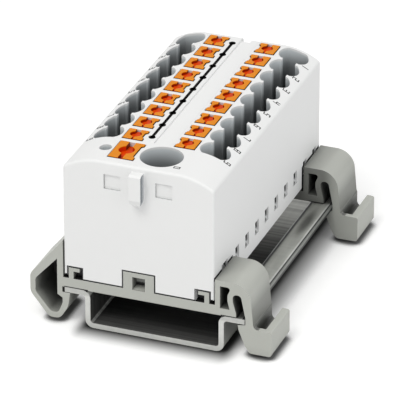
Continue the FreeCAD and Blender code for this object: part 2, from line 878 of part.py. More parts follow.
def rail_adapter(y0):
    body = bar_along_y(adapter_outline(), 0, ADAPTER_L)
    body = body.cut(
        [
            bar_along_y(claw_hollow(), -1, ADAPTER_L - POCKET_WEB),
            bar_along_y(tower_hollow(), -1, ADAPTER_L - POCKET_WEB),
            latch_valley(),
        ]
    )
    parts = []
    for side in (-1, 1):
        stem_x = side * (HOOK_X1 - HOOK_T / 2)
        parts.append(
            box(
                stem_x - HOOK_T / 2,
                stem_x + HOOK_T / 2,
                0,
                HOOK_L,
                PLATE_Z - 0.5,
                PLATE_Z + HOOK_H,
            )
        )
        bar_x = side * (HOOK_X0 + HOOK_X1) / 2
        bar_half = (HOOK_X1 - HOOK_X0) / 2
        parts.append(
            box(
                bar_x - bar_half,
                bar_x + bar_half,
                0,
                HOOK_L,
                PLATE_Z + HOOK_H - HOOK_BAR_T,
                PLATE_Z + HOOK_H,
            )
        )
    parts.append(box(-BOSS_HALF, BOSS_HALF, 0, BOSS_L, PLATE_Z - 0.5, PLATE_Z + BOSS_H))
    window = box(
        -BOSS_WINDOW_HALF,
        BOSS_WINDOW_HALF,
        -1,
        BOSS_WINDOW_DEPTH,
        PLATE_Z,
        PLATE_Z + BOSS_WINDOW_H,
    )
    body = body.fuse(parts).cut(window).removeSplitter()
    body.translate(V(0, y0, 0))
    return body


def mounting_rail():
    flange = RAIL_W / 2
    web = RAIL_WEB_W / 2
    inner = RAIL_BEND
    outer = RAIL_BEND + RAIL_T
    corners = [
        (-flange, RAIL_H, 0.0),
        (-web + RAIL_T, RAIL_H, outer),
        (-web + RAIL_T, RAIL_T, inner),
        (web - RAIL_T, RAIL_T, inner),
        (web - RAIL_T, RAIL_H, outer),
        (flange, RAIL_H, 0.0),
        (flange, RAIL_H - RAIL_T, 0.0),
        (web, RAIL_H - RAIL_T, inner),
        (web, 0, outer),
        (-web, 0, outer),
        (-web, RAIL_H - RAIL_T, inner),
        (-flange, RAIL_H - RAIL_T, 0.0),
    ]
    return bar_along_y(corners, 0, BLOCK_L + RAIL_PAST_REAR)


def build_all():
    nodes = {
        "housing": housing(),
        "base_cover": base_cover(),
        "busbar": busbar(),
        "front_adapter": rail_adapter(0),
        "rear_adapter": rail_adapter(BLOCK_L - ADAPTER_L),
        "mounting_rail": mounting_rail(),
        "infeed_button": infeed_button(),
        "infeed_spring": infeed_spring(),
    }
    for side, letter in ((-1, "l"), (1, "r")):
        for i in range(PER_ROW):
            nodes["button_%s%d" % (letter, i + 1)] = small_button(side, i)
            nodes["spring_%s%d" % (letter, i + 1)] = small_spring(side, i)
    return nodes


def main():
    os.makedirs("parts", exist_ok=True)
    for name, shape in build_all().items():
        if shape.ShapeType == "Compound" and len(shape.Solids) == 1:
            shape = shape.Solids[0]
        shape.exportStep("parts/%s.step" % name)


main()
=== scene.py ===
"""Looks of the push-in distribution block: plastics, metals, printed marks, floor, light."""
import json
import math

import bmesh
import bpy
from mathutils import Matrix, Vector

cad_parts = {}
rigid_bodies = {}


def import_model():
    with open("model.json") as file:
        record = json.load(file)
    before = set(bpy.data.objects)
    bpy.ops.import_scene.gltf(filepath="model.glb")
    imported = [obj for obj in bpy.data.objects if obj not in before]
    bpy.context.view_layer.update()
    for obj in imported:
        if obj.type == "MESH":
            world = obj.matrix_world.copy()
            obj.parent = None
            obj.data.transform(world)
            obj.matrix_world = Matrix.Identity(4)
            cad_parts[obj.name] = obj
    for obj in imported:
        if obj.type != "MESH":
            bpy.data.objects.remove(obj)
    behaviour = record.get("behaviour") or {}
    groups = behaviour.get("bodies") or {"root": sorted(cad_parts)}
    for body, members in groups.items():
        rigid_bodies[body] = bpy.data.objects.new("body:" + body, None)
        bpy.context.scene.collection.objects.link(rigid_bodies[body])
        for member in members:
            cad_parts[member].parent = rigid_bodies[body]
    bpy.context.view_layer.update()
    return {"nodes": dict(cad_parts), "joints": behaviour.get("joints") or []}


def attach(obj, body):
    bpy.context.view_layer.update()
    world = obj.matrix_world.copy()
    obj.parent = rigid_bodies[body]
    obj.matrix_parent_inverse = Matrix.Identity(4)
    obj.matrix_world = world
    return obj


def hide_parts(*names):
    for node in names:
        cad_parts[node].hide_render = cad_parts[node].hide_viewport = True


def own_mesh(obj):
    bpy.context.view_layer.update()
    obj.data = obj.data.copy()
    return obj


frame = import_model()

NODES = frame["nodes"]
MM = 0.001
PER_METRE = 1000.0

# Sizes are in millimetres where nothing else is said. A pair of limits either bounds a range
# or runs from where a mask is 0 to where it is 1. A tone is one grey value or (r, g, b), and
# TONES are stops as (place, tone).

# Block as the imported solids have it; x is counted from its middle, y from its front
BLOCK_X = -3.0
FRONT_Y = -28.4
TOP_Z = 34.65
HALF_W = 14.6
CROWN_FLAT = 7.4
CROWN_DROP = 2.3
CROWN_CURVE = 12.1
FIRST_Y = 12.0
PITCH = 5.2
PER_ROW = 9
BUTTON_X = 5.06
INFEED_BUTTON = (-4.3, 5.5)
INFEED_HOLE = (2.5, 5.45)
TEST_HOLE = (-8.4, 5.55)

# Adapters and rail
PLATE_Z = 9.5
BODY_Z = 9.62
LEG_Z = 10.25
BOSS_HALF = 3.1
BOSS_TOP = 13.1
BOSS_WINDOW_HALF = 1.25
BOSS_WINDOW_DEPTH = 2.2
NOTCH_X0 = 11.0
NOTCH_X1 = 13.85
NOTCH_TOP = 11.9
TOWER_TOP = 14.65
ADAPTER_L = 9.6
ADAPTER_STEP = 47.2
POCKET_DEPTH = 8.8
RAIL_H = 7.5
RAIL_WEB_HALF = 13.5
RAIL_L = 59.2

# Half the width of a mask's soft edge
SOFT = 0.02

# Limits of a normal's part along an axis, for surfaces that face that axis or stand beside it
FACES = (0.8, 0.9)
FACES_BACK = (-0.8, -0.9)
FACES_PARTLY = (0.3, 0.6)
FACES_SIDE = (0.7, 0.9)
STANDS_BESIDE = (0.6, 0.4)

# Finishes, with height and width in metres; waves are (stretch, scale)
FINISH_OUTPUTS = (
    ("Color", "NodeSocketColor"),
    ("Roughness", "NodeSocketFloat"),
    ("Height", "NodeSocketFloat"),
)
ROUGH_SWING = 0.12
CLOUD_SCALE = 130.0
GRAIN_HEIGHT = 0.00003
RUB_WIDTH = 0.00025
RUB_TURN = (0.995, 0.8)
STRIP_WAVES = (((1.0, 0.04, 1.0), 900.0), ((0.02, 1.0, 0.02), 1500.0))
STRIP_SWING = 4.0
SPRING_METAL = (0.40, 0.40, 0.42)
COPPER = (0.72, 0.42, 0.28)

# White plastic: painted shade down the entries and holes, on the rib's side, on the dimples'
# walls and in the joints
WHITE = (0.82, 0.823, 0.823)
ROW_X = (7.45, 14.2)
ROW_Y = (1.5, 56.0)
INFEED_HOLE_EDGE = (4.12, 4.05)
TEST_HOLE_EDGE = (1.3, 1.23)
ENTRY_START = (0.12, 0.7)
# Painted shade down the wire entries, as (depth below the top, value)
ENTRY_SHADES = (
    (10.0, 0.055),
    (5.6, 0.20),
    (4.2, 0.215),
    (3.2, 0.285),
    (2.4, 0.41),
    (1.5, 0.55),
    (0.5, 0.69),
)
LESS_RED = 0.945
MORE_BLUE = 1.03
RIB_FRONT = (-0.05, -0.15)
RIB_FACES = (0.6, 0.85)
RIB_SIDE_SHADE_TONES = ((-1.75, (0.09, 0.11, 0.13)), (-0.1, (0.52, 0.54, 0.56)))
DIMPLE_X = (3.3, 6.7)
DIMPLE_Z = (29.15, 32.25)
DIMPLE_WALL = (0.01, 0.27)
DIMPLE_SOFT = 0.01
DIMPLE_LEFT_SHADE = (0.14, 0.145, 0.15)
DIMPLE_LOW_SHADE = (0.38, 0.39, 0.39)
SEAM = 0.17
JOINT_SHADE_TONE = (0.01, 0.01, 0.012)
TOWER_SEAM_Z = (TOWER_TOP - 0.6, TOWER_TOP + 0.2)
TOWER_SEAM_END = (ADAPTER_L + 0.1, ADAPTER_L)
BESIDE_TOWER_Z = (PLATE_Z, TOWER_TOP + 0.1)
BESIDE_TOWER_Y = (ADAPTER_STEP - 0.42, ADAPTER_STEP + 1.0)

# Cover: painted shade on its floor, and in the gaps under and beside the catches in the side
# windows
COVER = (0.62, 0.63, 0.635)
COVER_FLOOR_Z = (13.0, 12.6)
COVER_FLOOR_SHADE = (0.03, 0.03, 0.032)
CATCH_X = (HALF_W - 1.6, HALF_W - 1.5)
LIP_GAP_Z = (13.75, 13.25)
LIP_GAP_Y = (0.35, -0.05)
LIP_GAP_SHADE = (0.05, 0.05, 0.052)
SIDE_GAP_Y = (0.25, 0.45)
SIDE_GAP_Z = (13.6, 15.0)
SIDE_GAP_SOFT = 0.15
SIDE_GAP_SHADE = (0.11, 0.11, 0.115)

# Grey plastic: hollows as (middle in the XZ plane, reach), and the painted shade down them
GREY = (0.46, 0.469, 0.434)
GREY_RUBBED = (0.55, 0.56, 0.53)
CLAW_HOLLOW = ((-18.0, 7.0), 7.2)
TOWER_HOLLOW = ((17.1, 10.8), 3.2)
SLOT_HOLLOW = ((19.3, 8.6), 4.6)
HOLLOW_TURN = (-0.05, -0.2)
HOLLOW_SOFT = 0.05
HOLLOW_SHADE_TONES = ((0.0, 0.62), (2.5, (0.30, 0.30, 0.31)), (ADAPTER_L, (0.08, 0.08, 0.085)))
CLAW_PALER = 0.35
WEB_DEPTH = (POCKET_DEPTH - 0.3, ADAPTER_L - 0.3)
WEB_SHADE_TONES = ((2.0, (0.22, 0.22, 0.21)), (12.5, 0.03))

# Grey plastic: painted shade on what lies under the block and in corners that see little light
# (reach in metres)
UNDER_BLOCK_Z = (BOSS_TOP + 0.05, BOSS_TOP)
UNDER_BLOCK_X = (HALF_W + 0.3, HALF_W + 0.2)
BOSS_SIDE_X = (2.9, 3.05)
BOSS_SIDE_Z = (PLATE_Z, PLATE_Z + 0.05)
UNDER_BLOCK_SHADE = 0.02
CORNER_REACH = 0.006
CORNER_OPEN = (0.7, 0.15)
CORNER_SHADE = 0.35

# Grey plastic: painted shade on the back of the window in the boss, and painted light on its
# floor
WINDOW_SOFT = 0.03
WINDOW_Z = (PLATE_Z - 0.05, BOSS_TOP - 0.5)
WINDOW_Y = (0.1, BOSS_WINDOW_DEPTH + 0.1)
WINDOW_BACK_SHADE_TONES = (
    (PLATE_Z, 0.02),
    (PLATE_Z + 0.5, 0.05),
    (PLATE_Z + 0.8, (0.42, 0.43, 0.41)),
    (PLATE_Z + 2.6, (0.22, 0.22, 0.21)),
)
WINDOW_FLOOR_LIGHT = (0.48, 0.49, 0.45)

# Grey plastic: painted shade on the right side, ledge and crest of the towers, on the rear
# adapter's front, and in the joint on the rail
TOWER_FACES = (0.55, 0.95)
TOWER_X_FROM = (18.0, 18.5)
TOWER_X_TO = (22.8, 22.5)
TOWER_SHADE_TONES = ((3.8, 0.32), (5.0, 0.35), (6.5, 0.50), (9.5, 0.60), (11.1, 0.85), (12.2, 0.97))
TOWER_BACK_SHADE_TONES = ((2.5, 1.0), (ADAPTER_L, 0.90))
LEDGE_Z = (8.5, 8.0)
LEDGE_X = (20.5, 23.2)
LEDGE_SHADE = 0.45
REAR_FRONT_Y = (40.0, 45.0)
REAR_FRONT_X = (18.5, 21.5)
REAR_FRONT_SHADE_LEFT = 0.40
REAR_FRONT_SHADE_RIGHT = 0.76
CREST_Z = (12.6, 13.0)
CREST_X = (14.6, 14.8)
CREST_SHADE_TONES = ((14.8, 0.55), (15.4, 0.66), (16.3, 0.79), (18.0, 0.89), (18.9, 0.97))
RAIL_JOINT_TOP = (RAIL_H + 0.24, RAIL_H + 0.18)
RAIL_JOINT_FOOT = (RAIL_H - 0.1, RAIL_H)
RAIL_JOINT_ACROSS = (12.9, 17.6)
RAIL_JOINT_SHADE = 0.015

# Orange plastic, with painted shade down the tool seat and on the sides in the gap; seats are
# (radius, depth) and rims are counted out from the seat's radius
ORANGE = (0.74, 0.235, 0.0)
ORANGE_RUBBED = (0.85, 0.33, 0.02)
BUTTON_TOP_Z = TOP_Z + 0.2
SMALL_SEAT = (1.1, 0.6)
SMALL_SEAT_WALL_SHADE = (0.30, 0.014, 0.0)
INFEED_SEAT = (1.5, 1.0)
INFEED_SEAT_WALL_SHADE = (0.60, 0.03, 0.0)
SEAT_FLOOR_SHADE = (0.74, 0.06, 0.0)
SEAT_START = (0.08, 0.18)
SEAT_RIM = (0.1, 0.02)
SEAT_FLOOR_START = (-0.1, -0.02)
SEAT_FLOOR_FACES = (0.5, 0.8)
BUTTON_SIDE_START = (0.1, 0.14)
BUTTON_SIDE_RIM = (0.02, 0.12)
BUTTON_SIDE_SHADE = (0.012, 0.006, 0.003)
SLOT_WIDTH = (0.8, 0.72)
SLOT_END_SHADE = (0.20, 0.02, 0.003)

# Rail: its channel with painted shade and a painted highlight on its bend, and its cut ends
CHANNEL_X = (-9.6, 15.6)
CHANNEL_TOP = (6.9, 6.6)
CHANNEL_FOOT = (0.6, 0.9)
CHANNEL_SHADE_TONES = (
    (0.0, (0.11, 0.11, 0.108)),
    (7.0, 0.035),
    (22.0, 0.022),
    (30.0, (0.05, 0.05, 0.049)),
    (36.0, (0.13, 0.13, 0.126)),
    (48.0, (0.44, 0.445, 0.42)),
)
LEFT_WALL_Y = (20.0, 6.0)
LEFT_WALL_SHADE = (0.075, 0.075, 0.072)
CHANNEL_BEND_FROM = (0.1, 0.3)
CHANNEL_BEND_TO = (0.95, 0.8)
CHANNEL_BEND_Z = (2.5, 2.0)
CHANNEL_BEND_HIGHLIGHT = (0.35, 0.35, 0.34)
ROLLS = (0.42, 0.62)
ROLLS_TONE = 0.68
CUT_END_TONE = (0.64, 0.645, 0.62)
HIGH_Z = (6.2, 6.8)
HIGH_TONE = 0.78

# Rail: painted highlights and painted shade on flanges, edges, bends and walls, counted from its
# middle, and a painted reflection (LATCH_REACH in metres)
FLANGE_HIGHLIGHT_AND_SHADE_TONES = (
    (12.5, (0.85, 0.86, 0.84)),
    (13.05, (0.85, 0.86, 0.84)),
    (13.2, 0.09),
    (13.6, 0.09),
    (13.9, (0.50, 0.51, 0.47)),
    (16.6, (0.56, 0.57, 0.53)),
    (16.75, (0.80, 0.81, 0.78)),
    (16.95, (0.80, 0.81, 0.78)),
    (17.05, 0.05),
    (17.2, 0.05),
    (17.3, (0.34, 0.35, 0.33)),
    (17.5, (0.34, 0.35, 0.33)),
)
RAIL_SIDE_SHADE = (0.36, 0.37, 0.34)
RAIL_LOW_Z = (3.0, 4.0)
RAIL_LOW_SHADE = (0.24, 0.245, 0.23)
OUTER_EDGE = (17.3, 17.4)
OUTER_EDGE_SHADE_TONES = (
    (6.5, 0.03),
    (6.9, 0.05),
    (7.1, (0.30, 0.31, 0.29)),
    (7.5, (0.34, 0.35, 0.33)),
)
WEB_BEND_FACES = (0.2, 0.4)
WEB_BEND_Z = (1.0, 0.8)
WEB_BEND = (12.3, 12.6)
WEB_BEND_HIGHLIGHT = (0.85, 0.86, 0.83)
WALL_FACES = (0.9, 0.97)
WALL = (13.3, 13.7)
WALL_TOP = (6.0, 5.5)
WALL_FOOT = (0.8, 1.0)
WALL_SHADE_TONES = ((1.0, (0.46, 0.47, 0.44)), (5.5, (0.25, 0.255, 0.24)))
LATCH_REACH = 0.003
LATCH_OPEN = (0.7, 0.4)
UNDER_LATCH_Z = (RAIL_H - 0.2, RAIL_H - 0.1)
UNDER_LATCH = (13.8, 13.9)
RIGHT_SIDE = (0.0, 1.0)
UNDER_LATCH_SHADE = 0.02
PATCH_STRETCH = 5.0
PATCH_ACROSS = 15.3
PATCH_Y = 39.0
PATCH_FADE = (8.0, 1.5)
REFLECTION_PATCH_TONE = 0.30
REFLECTION_HAZE = (0.35, 0.65, 0.0, 0.3)
REFLECTION_HAZE_TONE = 0.5

# Printed marks
INK = 0.004
INK_T = 0.03
LINE_X = -1.97
LINE_W = 0.58
DOT_R = 0.65
DOT_SIDES = 24
DOT_OFFSET = 0.1
DIGIT_H = 1.1
DIGIT_W = 0.56
DIGIT_STROKE = 0.14
NUMBER_X = 13.35
NUMBER_OFFSET = -1.97
INFEED_NUMBER = (6.56, 2.46)
STROKES = {
    "a": ((0, 1), (1, 1)),
    "b": ((1, 1), (1, 0.5)),
    "c": ((1, 0.5), (1, 0)),
    "d": ((0, 0), (1, 0)),
    "e": ((0, 0), (0, 0.5)),
    "f": ((0, 0.5), (0, 1)),
    "g": ((0, 0.5), (1, 0.5)),
}
DIGITS = {
    "0": "abcdef",
    "1": "bc",
    "2": "abged",
    "3": "abgcd",
    "4": "fgbc",
    "5": "afgcd",
    "6": "afgedc",
    "7": "abc",
    "8": "abcdefg",
    "9": "abcdfg",
}

# Floor: size, drop and reach in metres, its tones, and the painted shadow beside the rail
FLOOR_SIZE = 3.0
FLOOR_DROP = 0.00002
FLOOR_REACH = 0.002
FLOOR_OPEN = (0.52, 0.97)
PAPER_ROUGHNESS = 0.9
PAPER_SCALE = 40.0
PAPER_DARK = 0.80
PAPER_PALE = 0.82
CONTACT_SHADOW_TONE = 0.2
FLOOR_GLOW = 0.30
CONTACT_RIGHT = (3.0, 14.0, 1.6, 0.9)
CONTACT_LEFT = 2.0
CONTACT_FADE = (-0.2, 5.8, 0.12, 1.0)

# Light: lamps as (name, place, size, power, colour), in metres and watts
WORLD_STRENGTH = 0.60
LAMP_AIM = (0, 0, 0.02)
LAMPS = (
    ("key", (-0.2, -0.6, 1.05), 0.6, 6.3, (1.0, 0.995, 0.965)),
    ("fill", (0.9, -0.3, 0.5), 0.8, 1.9, (0.98, 1.0, 1.0)),
    ("back", (0.1, 0.9, 0.9), 0.6, 0.4, (1.0, 1.0, 1.0)),
)

# Photograph's camera
AIM = (0.10, -3.12, 15.4)
AZIMUTH = 20.76
ELEVATION = 27.84
DISTANCE = 900.0
FIELD_DEG = 4.80
SENSOR = 36.0
CLIP_START = 0.05
CLIP_END = 20.0


def clear_start():
    for other in list(bpy.data.objects):
        if other.name in {"Cube", "Light", "Camera"}:
            bpy.data.objects.remove(other)


def as_tone(value):
    """One grey value as (r, g, b); colours and sockets stay as they are."""
    if isinstance(value, float):
        return (value, value, value)
    return value


class Graph:
    """Short hand for adding nodes and links to one material or group."""

    def __init__(self, tree):
        self.tree = tree

    def add(self, kind):
        return self.tree.nodes.new(kind)

    def link(self, a, b):
        self.tree.links.new(a, b)

    def feed(self, socket, value):
        if isinstance(value, (int, float)):
            socket.default_value = value
        elif isinstance(value, tuple):
            socket.default_value = (*value, 1.0)
        else:
            self.link(value, socket)

    def math(self, operation, a, b=None):
        node = self.add("ShaderNodeMath")
        node.operation = operation
        self.feed(node.inputs[0], a)
        if b is not None:
            self.feed(node.inputs[1], b)
        return node.outputs[0]

    def absolute(self, value):
        return self.math("ABSOLUTE", value)

    def band(self, value, low, high, to_low=0.0, to_high=1.0):
        """Smooth step of value from to_low at low to to_high at high."""
        node = self.add("ShaderNodeMapRange")
        node.interpolation_type = "SMOOTHSTEP"
        node.inputs["From Min"].default_value = low
        node.inputs["From Max"].default_value = high
        node.inputs["To Min"].default_value = to_low
        node.inputs["To Max"].default_value = to_high
        self.link(value, node.inputs["Value"])
        return node.outputs["Result"]

    def above(self, value, limit, soft=SOFT):
        return self.band(value, limit - soft, limit + soft)

    def below(self, value, limit, soft=SOFT):
        return self.band(value, limit + soft, limit - soft)

    def all_of(self, *masks):
        out = masks[0]
        for mask in masks[1:]:
            out = self.math("MULTIPLY", out, mask)
        return out

    def any_of(self, *masks):
        out = masks[0]
        for mask in masks[1:]:
            out = self.math("MAXIMUM", out, mask)
        return out

    def inside(self, value, low, high, soft=SOFT):
        """1 between two limits, 0 outside them."""
        return self.all_of(self.above(value, low, soft), self.below(value, high, soft))

    def blend(self, kind, factor, a, b):
        node = self.add("ShaderNodeMix")
        node.data_type = "RGBA"
        node.blend_type = kind
        self.feed(node.inputs[0], factor)
        self.feed(node.inputs[6], as_tone(a))
        self.feed(node.inputs[7], as_tone(b))
        return node.outputs[2]

    def paint(self, mask, colour, tone):
        return self.blend("MIX", mask, colour, tone)

    def darken(self, mask, colour, tone):
        return self.blend("MULTIPLY", mask, colour, tone)

    def ramp(self, value, tones):
        """Colour ramp over value, with stops as (place, tone)."""
        low = tones[0][0]
        high = tones[-1][0]
        node = self.add("ShaderNodeValToRGB")
        ramp = node.color_ramp
        for i, (place, tone) in enumerate(tones):
            share = (place - low) / (high - low)
            if i == 0:
                stop = ramp.elements[0]
            elif i == len(tones) - 1:
                stop = ramp.elements[len(ramp.elements) - 1]
            else:
                stop = ramp.elements.new(share)
            stop.position = share
            stop.color = (*as_tone(tone), 1.0)
        scaled = self.add("ShaderNodeMapRange")
        scaled.inputs["From Min"].default_value = low
        scaled.inputs["From Max"].default_value = high
        self.link(value, scaled.inputs["Value"])
        self.link(scaled.outputs["Result"], node.inputs[0])
        return node.outputs[0]

    def grey_of(self, value):
        """Colour with one value socket in all its channels."""
        node = self.add("ShaderNodeCombineColor")
        for i in range(3):
            self.link(value, node.inputs[i])
        return node.outputs[0]

    def noise(self, scale, detail, vector):
        node = self.add("ShaderNodeTexNoise")
        node.inputs["Detail"].default_value = detail
        self.feed(node.inputs["Scale"], scale)
        self.link(vector, node.inputs["Vector"])
        return node.outputs[0]

    def stretched_noise(self, scale, detail, stretch):
        """Noise drawn out along the axes where stretch is small."""
        mapping = self.add("ShaderNodeMapping")
        mapping.inputs["Scale"].default_value = stretch
        self.link(self.object_place(), mapping.inputs["Vector"])
        return self.noise(scale, detail, mapping.outputs[0])

    def openness(self, reach, samples=8):
        """1 where nothing stands within reach (in metres), less in corners."""
        node = self.add("ShaderNodeAmbientOcclusion")
        node.samples = samples
        node.inputs["Distance"].default_value = reach
        return node.outputs["AO"]

    def object_place(self):
        return self.add("ShaderNodeTexCoord").outputs["Object"]

    def block_place(self):
        """x from the block's middle, y from its front and z, in millimetres."""
        split = self.add("ShaderNodeSeparateXYZ")
        self.link(self.object_place(), split.inputs[0])
        x = self.math("MULTIPLY_ADD", split.outputs["X"], PER_METRE)
        y = self.math("MULTIPLY_ADD", split.outputs["Y"], PER_METRE)
        x.node.inputs[2].default_value = -BLOCK_X
        y.node.inputs[2].default_value = -FRONT_Y
        return x, y, self.math("MULTIPLY", split.outputs["Z"], PER_METRE)

    def facing(self):
        split = self.add("ShaderNodeSeparateXYZ")
        self.link(self.add("ShaderNodeTexCoord").outputs["Normal"], split.inputs[0])
        return split.outputs["X"], split.outputs["Y"], split.outputs["Z"]

    def distance(self, a, b, centre):
        """Distance of (a, b) from a centre in their plane."""
        da = self.math("SUBTRACT", a, centre[0])
        db = self.math("SUBTRACT", b, centre[1])
        both = self.math("ADD", self.math("MULTIPLY", da, da), self.math("MULTIPLY", db, db))
        return self.math("SQRT", both)


def new_group(name, inputs, outputs):
    group = bpy.data.node_groups.new(name, "ShaderNodeTree")
    for label, kind, value in inputs:
        socket = group.interface.new_socket(label, in_out="INPUT", socket_type=kind)
        socket.default_value = value
    for label, kind in outputs:
        group.interface.new_socket(label, in_out="OUTPUT", socket_type=kind)
    start = group.nodes.new("NodeGroupInput")
    end = group.nodes.new("NodeGroupOutput")
    return group, Graph(group), start, end


def moulded_skin_group():
    """Fine spark-eroded grain and faint colour drift of a moulded plastic."""
    group, g, start, end = new_group(
        "moulded_skin",
        [
            ("Color", "NodeSocketColor", (0.8, 0.8, 0.8, 1.0)),
            ("Drift", "NodeSocketFloat", 0.03),
            ("Base Roughness", "NodeSocketFloat", 0.45),
            ("Grain Size", "NodeSocketFloat", 5000.0),
        ],
        FINISH_OUTPUTS,
    )
    place = g.object_place()
    cloud = g.noise(CLOUD_SCALE, detail=2.0, vector=place)
    grain = g.noise(start.outputs["Grain Size"], detail=2.0, vector=place)
    swing = g.math("MULTIPLY", g.math("SUBTRACT", cloud, 0.5), start.outputs["Drift"])
    tint = g.grey_of(g.math("ADD", swing, 1.0))
    g.link(g.darken(1.0, start.outputs["Color"], tint), end.inputs["Color"])
    rough = g.math("MULTIPLY", g.math("SUBTRACT", grain, 0.5), ROUGH_SWING)
    g.link(g.math("ADD", rough, start.outputs["Base Roughness"]), end.inputs["Roughness"])
    g.link(grain, end.inputs["Height"])
    return group


def edge_rub_group():
    """Mask of rubbed edges, from the turn of the surface at small scale."""
    group, g, start, end = new_group(
        "edge_rub",
        [("Width", "NodeSocketFloat", 0.0003), ("Amount", "NodeSocketFloat", 0.5)],
        [("Mask", "NodeSocketFloat")],
    )
    bevel = g.add("ShaderNodeBevel")
    bevel.samples = 4
    g.link(start.outputs["Width"], bevel.inputs["Radius"])
    flat = g.add("ShaderNodeNewGeometry")
    dot = g.add("ShaderNodeVectorMath")
    dot.operation = "DOT_PRODUCT"
    g.link(bevel.outputs[0], dot.inputs[0])
    g.link(flat.outputs["Normal"], dot.inputs[1])
    turn = g.band(dot.outputs["Value"], *RUB_TURN)
    g.link(g.math("MULTIPLY", turn, start.outputs["Amount"]), end.inputs["Mask"])
    return group


def rolled_strip_group():
    """Streaks along the rolling direction and faint rolls across it, on metal strip."""
    group, g, start, end = new_group(
        "rolled_strip",
        [
            ("Color", "NodeSocketColor", (0.5, 0.5, 0.5, 1.0)),
            ("Contrast", "NodeSocketFloat", 0.2),
            ("Base Roughness", "NodeSocketFloat", 0.35),
        ],
        FINISH_OUTPUTS,
    )
    waves = [g.stretched_noise(scale, detail=3.0, stretch=along) for along, scale in STRIP_WAVES]
    both = g.math("MULTIPLY", g.math("ADD", *waves), 0.5)
    swing = g.math("MULTIPLY", g.math("SUBTRACT", both, 0.5), start.outputs["Contrast"])
    tint = g.grey_of(g.math("ADD", g.math("MULTIPLY", swing, STRIP_SWING), 1.0))
    g.link(g.darken(1.0, start.outputs["Color"], tint), end.inputs["Color"])
    g.link(g.math("ADD", swing, start.outputs["Base Roughness"]), end.inputs["Roughness"])
    g.link(both, end.inputs["Height"])
    return group


def principled(name, specular=0.4, metallic=0.0):
    material = bpy.data.materials.new(name)
    material.use_nodes = True
    shader = material.node_tree.nodes["Principled BSDF"]
    shader.inputs["Specular IOR Level"].default_value = specular
    shader.inputs["Metallic"].default_value = metallic
    return material, Graph(material.node_tree), shader


def finish_with(g, group, shader, strength, **values):
    """Place a finish group, feed roughness and bump from it and return its colour."""
    node = g.add("ShaderNodeGroup")
    node.node_tree = group
    for key, value in values.items():
        g.feed(node.inputs[key.replace("_", " ")], value)
    g.link(node.outputs["Roughness"], shader.inputs["Roughness"])
    bump = g.add("ShaderNodeBump")
    bump.inputs["Strength"].default_value = strength
    bump.inputs["Distance"].default_value = GRAIN_HEIGHT
    g.link(node.outputs["Height"], bump.inputs["Height"])
    g.link(bump.outputs[0], shader.inputs["Normal"])
    return node.outputs["Color"]


def rubbed(g, rub, colour, rub_colour, amount):
    node = g.add("ShaderNodeGroup")
    node.node_tree = rub
    node.inputs["Width"].default_value = RUB_WIDTH
    node.inputs["Amount"].default_value = amount
    return g.paint(node.outputs["Mask"], colour, rub_colour)


def entry_shade_mask(g, x, y, z):
    """Where shade is painted: walls inside the wire entries, the infeed hole and the test hole,
    below the crown.
    """
    rows = g.all_of(g.inside(g.absolute(x), *ROW_X), g.inside(y, *ROW_Y))
    infeed = g.band(g.distance(x, y, INFEED_HOLE), *INFEED_HOLE_EDGE)
    test = g.band(g.distance(x, y, TEST_HOLE), *TEST_HOLE_EDGE)
    over = g.math("MAXIMUM", g.math("SUBTRACT", g.absolute(x), CROWN_FLAT), 0.0)
    drop = g.math("DIVIDE", g.math("MULTIPLY", over, over), 2 * CROWN_CURVE)
    depth = g.math("SUBTRACT", g.math("SUBTRACT", TOP_Z, drop), z)
    return g.all_of(g.any_of(rows, infeed, test), g.band(depth, *ENTRY_START))


def joint_shade_mask(g, x, y, z):
    """Painted shade: thin dark lines in the joints where the housing meets the adapters, and a
    painted shadow on the housing's side beside the rear adapter's tower.
    """
    nx, ny, _ = g.facing()
    side = g.absolute(x)
    under = g.below(z, BODY_Z + SEAM)
    boss = g.all_of(g.below(side, BOSS_HALF + SEAM), g.below(z, BOSS_TOP + SEAM))
    notch = g.all_of(
        g.inside(side, NOTCH_X0 - SEAM, NOTCH_X1 + SEAM), g.below(z, NOTCH_TOP + SEAM)
    )
    leg = g.all_of(g.above(side, NOTCH_X1), g.below(z, LEG_Z + SEAM))
    front = g.all_of(g.band(ny, *FACES_BACK), g.any_of(under, boss, notch, leg))
    right = g.band(nx, *FACES)
    along = g.math("MODULO", y, ADAPTER_STEP)
    tower = g.all_of(right, g.inside(z, *TOWER_SEAM_Z), g.band(along, *TOWER_SEAM_END))
    shadow_beside_tower = g.all_of(right, g.inside(z, *BESIDE_TOWER_Z), g.inside(y, *BESIDE_TOWER_Y))
    return g.any_of(front, tower, shadow_beside_tower)


def front_edge_shades(g, x, y, z):
    """Where shade is painted: right side of the front rib, and left and lower walls of the two
    dimples.
    """
    nx, _, nz = g.facing()
    rib_side_shade = g.all_of(g.band(y, *RIB_FRONT), g.band(nx, *RIB_FACES))
    dimple = g.all_of(
        g.inside(g.absolute(x), *DIMPLE_X),
        g.inside(z, *DIMPLE_Z),
        g.inside(y, *DIMPLE_WALL, DIMPLE_SOFT),
    )
    left_edge_shade = g.all_of(dimple, g.band(nx, *FACES))
    low_edge_shade = g.all_of(dimple, g.band(nz, *FACES))
    return rib_side_shade, left_edge_shade, low_edge_shade


def cool(value):
    """Painted shade on the white plastic: grey, a little blue."""
    return (LESS_RED * value, value, MORE_BLUE * value)


